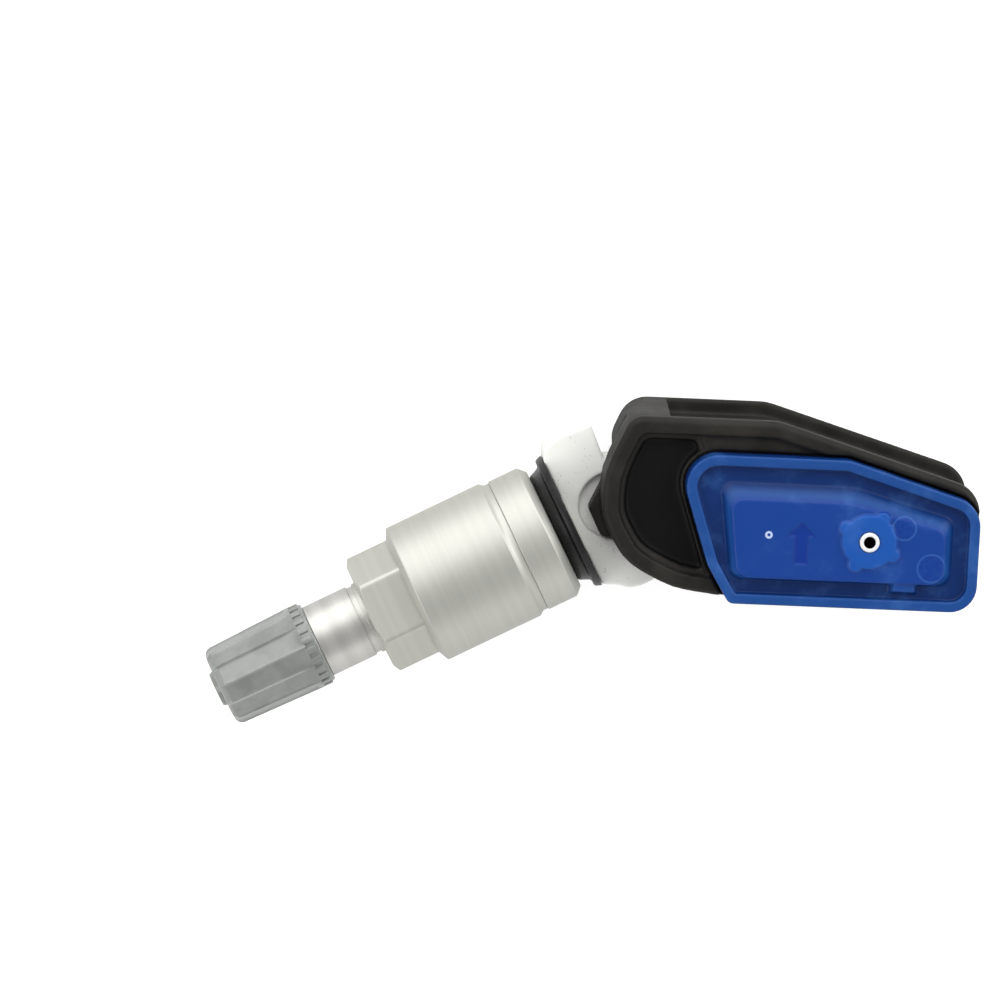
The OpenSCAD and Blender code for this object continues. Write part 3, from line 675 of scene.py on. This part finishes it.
def makeFoot():
    # only the stretch from the head to the seal is kept; the turned stem is its own piece
    bm = copyNode("valve_body", valveTurn)
    bmesh.ops.bisect_plane(
        bm, geom=list(bm.verts) + list(bm.edges) + list(bm.faces), dist=0.0001,
        plane_co=(0, 0, footLook["cutAt"]), plane_no=(0, 0, 1), clear_outer=True, clear_inner=False)
    bmesh.ops.holes_fill(bm, edges=[e for e in bm.edges if e.is_boundary], sides=0)
    # the stem's root doesn't stand out of the foot's flat sides
    for v in bm.verts:
        v.co.x = max(-footLook["half"], min(footLook["half"], v.co.x))
    bm = softened(bm, footLook["grid"], footLook["passes"])
    return finishPiece("valveFoot", bm, valveTurn, "valve", "valve_body", castAlloy, sharp=180)


# the neck is where its groove starts and ends, and how deep it is
stemLook = {
    "radius": 4.15, "thread": 3.85, "bore": 2.2, "air": 0.9, "from": 4.73, "boreFrom": 30.6,
    "threadFrom": 36.0, "mouth": 46.6, "neck": (30.0, 30.65, 0.2),
    "mouthRound": 0.15, "endRound": 0.35, "threadRound": 0.12, "neckRound": 0.06}


def makeStem():
    look = stemLook
    neckFrom, neckTo, neckDeep = look["neck"]
    points = [
        (look["bore"], look["boreFrom"]), (look["bore"], look["mouth"]), (look["thread"], look["mouth"]),
        (look["thread"], look["threadFrom"]), (look["radius"], look["threadFrom"]), (look["radius"], neckTo),
        (look["radius"] - neckDeep, neckTo), (look["radius"] - neckDeep, neckFrom),
        (look["radius"], neckFrom), (look["radius"], look["from"]),
        (look["air"], look["from"]), (look["air"], look["boreFrom"])]
    rounds = {
        1: look["mouthRound"], 2: look["endRound"], 4: look["threadRound"],
        5: look["neckRound"], 8: look["neckRound"]}
    return finishPiece("valveStem", turnProfile(points, rounds), valveTurn, "valve", "valve_body")


# the flange narrows by "lip" where it meets the rim, then steps in to the shoulder
sealLook = {
    "inner": 4.2, "neck": 5.7, "shoulder": 6.95, "lip": 0.3, "stepIn": 1.1, "shoulderIn": 1.7, "neckIn": 0.3,
    "rounds": {1: 0.15, 2: 0.25, 3: 0.3, 4: 0.2}}


def makeSeal():
    look = sealLook
    start, end, radius = alongValve("grommet_seal")
    seat = hinge.x / mm
    points = [
        (look["inner"], start), (radius, start), (radius - look["lip"], seat),
        (radius - look["stepIn"], seat), (radius - look["shoulderIn"], look["shoulder"]),
        (look["neck"], look["shoulder"]),
        (look["neck"] - look["neckIn"], end), (look["inner"], end)]
    bm = turnProfile(points, look["rounds"])
    return finishPiece("rubberSeal", bm, valveTurn, "valve", "grommet_seal")


# the recess takes the seal's neck as far as "recessEnd"
ringLook = {"chamfer": 0.85, "round": 0.12, "bore": 4.25, "recess": 5.8, "recessEnd": 9.45}


def makeRing():
    look = ringLook
    start, end, radius = alongValve("clamp_ring")
    points = [
        (look["recess"], start), (radius - look["chamfer"], start), (radius, start + look["chamfer"]),
        (radius, end), (look["bore"], end), (look["bore"], look["recessEnd"]),
        (look["recess"], look["recessEnd"])]
    bm = turnProfile(points, {corner: look["round"] for corner in (1, 2, 3)})
    return finishPiece("clampRing", bm, valveTurn, "ring", "clamp_ring")


# groove and edge are each a length and a depth; the groove's far side slopes out by "slope" and "lead"
nutLook = {
    "bore": 4.2, "hex": 5.2, "groove": (0.85, 0.4), "slope": (0.3, 0.2), "lead": 0.2, "edge": (0.6, 1.25),
    "grooveRound": 0.08, "leadRound": 0.1, "round": 0.12}


def makeNutSleeve():
    look = nutLook
    start, end, radius = alongValve("nut")
    hexFrom = end - look["hex"]
    grooveLong, grooveDeep = look["groove"]
    slopeLong, slopeHigh = look["slope"]
    edgeLong, edgeDeep = look["edge"]
    points = [
        (look["bore"], start), (radius - grooveDeep, start),
        (radius - grooveDeep, start + grooveLong - slopeLong), (radius - slopeHigh, start + grooveLong),
        (radius, start + grooveLong + look["lead"]),
        (radius, hexFrom - edgeLong), (radius - edgeDeep, hexFrom), (look["bore"], hexFrom)]
    rounds = {1: look["grooveRound"], 4: look["leadRound"], 5: look["round"], 6: look["round"]}
    return finishPiece("nutSleeve", turnProfile(points, rounds), valveTurn, "nut", "nut")


# the hexagon's width over its flats, the turn of its corners in degrees, and the cone on its end
# as length and least radius; its root stands a little inside the sleeve
hexLook = {
    "flats": 12.0, "turned": 40.2, "cone": (0.474, 6.03), "worn": 0.06, "rooted": 0.2, "endRound": 0.12,
    "rows": 10, "steps": 180}


def makeNutHex():
    look = hexLook
    end = alongValve("nut")[1]
    root = end - nutLook["hex"] - look["rooted"]
    wide = look["flats"] / 2 / cos(pi / 6)
    length, least = look["cone"]
    rows = look["rows"]
    points = [(nutLook["bore"], root), (wide, root)]
    points += [(wide + (least - wide) * k / rows, end - length + length * k / rows) for k in range(rows + 1)]
    points += [(nutLook["bore"], end)]
    bm = turnProfile(points, {len(points) - 1: look["endRound"]}, look["steps"])
    # the turned ring is pressed in to six flats, and its corners are a little worn
    for v in bm.verts:
        radius = hypot(v.co.x, v.co.y)
        turn = atan2(v.co.y, v.co.x) % (pi / 3)
        most = min(look["flats"] / 2 / cos(turn - pi / 6), wide - look["worn"])
        if radius > most:
            v.co.x *= most / radius
            v.co.y *= most / radius
    turnRound(bm, radians(look["turned"]))
    return finishPiece("nutHexagon", bm, valveTurn, "nut", "nut")


makeFoot()
makeStem()
makeSeal()
makeRing()
makeNutSleeve()
makeNutHex()
print("valve made")

# "turned" is in degrees; a flute fades in over "fadeUp" above the skirt and "fadeIn" beyond the raised disc
capLook = {
    "radius": 4.85, "taper": 0.3, "endWall": 0.9, "bore": 3.95, "turned": 11, "rows": 12,
    "skirt": 1.4, "skirtIn": 0.2, "skirtChamfer": (0.3, 0.3), "skirtRound": 0.1,
    "disc": 2.1, "discHigh": 0.5, "discSlope": 0.2, "discRound": 0.15, "endRound": 1.0,
    "flutes": 12, "fluteDeep": 0.3, "stepsPerFlute": 28, "discClear": 0.3, "fadeUp": 0.7, "fadeIn": 1.5}


def makeCap():
    look = capLook
    start, top, _ = alongValve("valve_cap")
    end = top - look["discHigh"]
    inside = end - look["endWall"]
    skirtTop = start + look["skirt"]
    skirtRadius = look["radius"] - look["skirtIn"]
    chamferIn, chamferUp = look["skirtChamfer"]
    rows = look["rows"]
    side = [
        (look["radius"] - look["taper"] * k / rows, skirtTop + (end - skirtTop) * k / rows)
        for k in range(rows + 1)]
    points = [
        (look["bore"], start), (look["radius"] - chamferIn, start), (skirtRadius, start + chamferUp),
        (skirtRadius, skirtTop)] + side
    corner = len(points) - 1
    points += [
        (look["disc"], end), (look["disc"] - look["discSlope"], top), (0, top), (0, inside),
        (look["bore"], inside)]
    rounds = {1: look["skirtRound"], corner: look["endRound"], corner + 2: look["discRound"]}
    bm = turnProfile(points, rounds, look["flutes"] * look["stepsPerFlute"])
    # hollow flutes, steepest beside the narrow ridges between them; disc, skirt and bore stay round
    clear = look["disc"] + look["discClear"]
    for v in bm.verts:
        radius, s = hypot(v.co.x, v.co.y), v.co.z
        if radius < clear or s < skirtTop + 0.01 or (radius < look["bore"] + 0.05 and s < inside + 0.01):
            continue
        turn = atan2(v.co.y, v.co.x) / (2 * pi) * look["flutes"]
        across = abs(2 * (turn - int(turn // 1)) - 1)
        share = min(1, (s - skirtTop) / look["fadeUp"]) * min(1, (radius - clear) / look["fadeIn"])
        deep = look["fluteDeep"] * share * (1 - 0.5 * across ** 2 - 0.5 * across ** 9)
        v.co.x *= 1 - deep / radius
        v.co.y *= 1 - deep / radius
    turnRound(bm, radians(look["turned"]))
    return finishPiece("capBody", bm, valveTurn, "cap", "valve_cap", sharp=50, weighted=False)


# a block's thickness and width, what it is shorter than the skirt, how deep it stands in it, and its foot
blockLook = {"size": (0.5, 0.78), "shorter": 0.15, "sunk": 0.25, "up": 0.35, "worn": 0.12}


def makeCapBlocks():
    look = blockLook
    start = alongValve("valve_cap")[0]
    high = capLook["skirt"] - look["shorter"]
    bm = bmesh.new()
    block = bmesh.ops.create_cube(bm, size=1)["verts"]
    bmesh.ops.scale(bm, vec=(*look["size"], high), verts=block)
    middle = (capLook["radius"] - look["sunk"], 0, start + look["up"] + high / 2)
    bmesh.ops.translate(bm, vec=middle, verts=block)
    bmesh.ops.bevel(
        bm, geom=list(bm.edges), offset=look["worn"], offset_type="OFFSET", segments=2, profile=0.5,
        affect="EDGES", clamp_overlap=True, material=-1)
    count = 2 * capLook["flutes"]
    turnRound(bm, pi / count + radians(capLook["turned"]))
    bmesh.ops.spin(
        bm, geom=list(bm.verts) + list(bm.edges) + list(bm.faces), cent=(0, 0, 0), axis=(0, 0, 1),
        dvec=(0, 0, 0), angle=2 * pi * (count - 1) / count, steps=count - 1, use_merge=False,
        use_duplicate=True)
    return finishPiece("capSkirtBlocks", bm, valveTurn, "cap", "valve_cap")


makeCap()
makeCapBlocks()
print("cap made")

# sizes and distances in metres
studio = {
    "floorSize": 2.0, "floorGap": 0.00002, "floorTone": 0.55, "floorRough": 0.9,
    # how bright the floor looks to the camera, and in mirrored light
    "floorGlow": 0.75, "mirrorGlow": 0.3,
    # the sky's strength, where its dark side starts, and how far below the camera it is darkest
    "skyBright": 0.95, "skyDark": 0.4, "darkFrom": 0.45, "darkLow": 0.4,
    "lamps": [
        # name, share of right, up and back, distance, size across and high, watts;
        # capPanel and headPanel shine along the valve, so its round faces stay as the key draws them
        ("keyPanel", (-0.3, 1.0, 0.66), 0.5, (0.75, 0.9), 2.2),
        ("capPanel", (-0.8, -0.38, 0.5), 0.5, (0.3, 0.3), 0.4),
        ("topPanel", (0.1, 1.0, 0.05), 0.45, (0.6, 0.25), 0.45),
        ("headPanel", (0.8, 0.38, 0.5), 0.5, (0.3, 0.3), 0.7),
        ("lowPanel", (0.3, -0.9, 0.3), 0.6, (0.4, 0.2), 0.08)]}


def seenDirectly(tree):
    # the rays that show the white background, and the light path they come from
    rays = addNode(tree, "LightPath").outputs
    return maths(tree, "MAXIMUM", rays["Is Camera Ray"], rays["Is Transmission Ray"]), rays


def makeFloor():
    bm = bmesh.new()
    bmesh.ops.create_grid(bm, x_segments=1, y_segments=1, size=studio["floorSize"])
    bmesh.ops.translate(bm, vec=(0, 0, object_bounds()[0].z - studio["floorGap"]), verts=bm.verts)
    mesh = bpy.data.meshes.new("floor")
    bm.to_mesh(mesh)
    bm.free()
    floor = bpy.data.objects.new("floor", mesh)
    bpy.context.scene.collection.objects.link(floor)
    tone = studio["floorTone"]
    mat, tree, shader = newFinish(
        "floorPaper", Roughness=studio["floorRough"], Specular_IOR_Level=0.1,
        Base_Color=(tone, tone, tone, 1), Emission_Color=(1, 1, 1, 1))
    seen, rays = seenDirectly(tree)
    mirrored = times(tree, rays["Is Glossy Ray"], studio["mirrorGlow"])
    glow = maths(tree, "MAXIMUM", times(tree, seen, studio["floorGlow"]), mirrored)
    feed(tree, shader.inputs["Emission Strength"], glow)
    mesh.materials.append(mat)


def makeWorld():
    # white behind the object; what lights it is darkest from the camera's side, a little below the camera
    world = bpy.data.worlds.new("studioSky")
    bpy.context.scene.world = world
    world.use_nodes = True
    tree = world.node_tree
    tree.nodes.clear()
    right, up, back = viewAxes()
    toDark = addNode(tree, "VectorMath", operation="DOT_PRODUCT")
    feed(tree, toDark.inputs[0], addNode(tree, "TexCoord").outputs["Generated"])
    toDark.inputs[1].default_value = (back - up * studio["darkLow"]).normalized()
    tone = mapRange(
        tree, toDark.outputs["Value"], studio["darkFrom"], 1.0, studio["skyBright"], studio["skyDark"])
    glow = addNode(tree, "Background")
    glow.inputs["Color"].default_value = (1, 1, 1, 1)
    feed(tree, glow.inputs["Strength"], maths(tree, "MAXIMUM", tone, seenDirectly(tree)[0]))
    out = addNode(tree, "OutputWorld")
    feed(tree, out.inputs[0], glow.outputs[0])


def makeLamps():
    right, up, back = viewAxes()
    for name, share, distance, size, watts in studio["lamps"]:
        data = bpy.data.lights.new(name, "AREA")
        data.shape = "RECTANGLE"
        data.size, data.size_y = size
        data.energy = watts
        lamp = bpy.data.objects.new(name, data)
        bpy.context.scene.collection.objects.link(lamp)
        away = (right * share[0] + up * share[1] + back * share[2]).normalized()
        facing = away.to_track_quat("Z", "Y").to_matrix().to_4x4()
        lamp.matrix_world = Matrix.Translation(away * distance) @ facing


makeFloor()
makeWorld()
makeLamps()
bpy.context.scene.view_settings.view_transform = "Standard"
print("floor and light set")
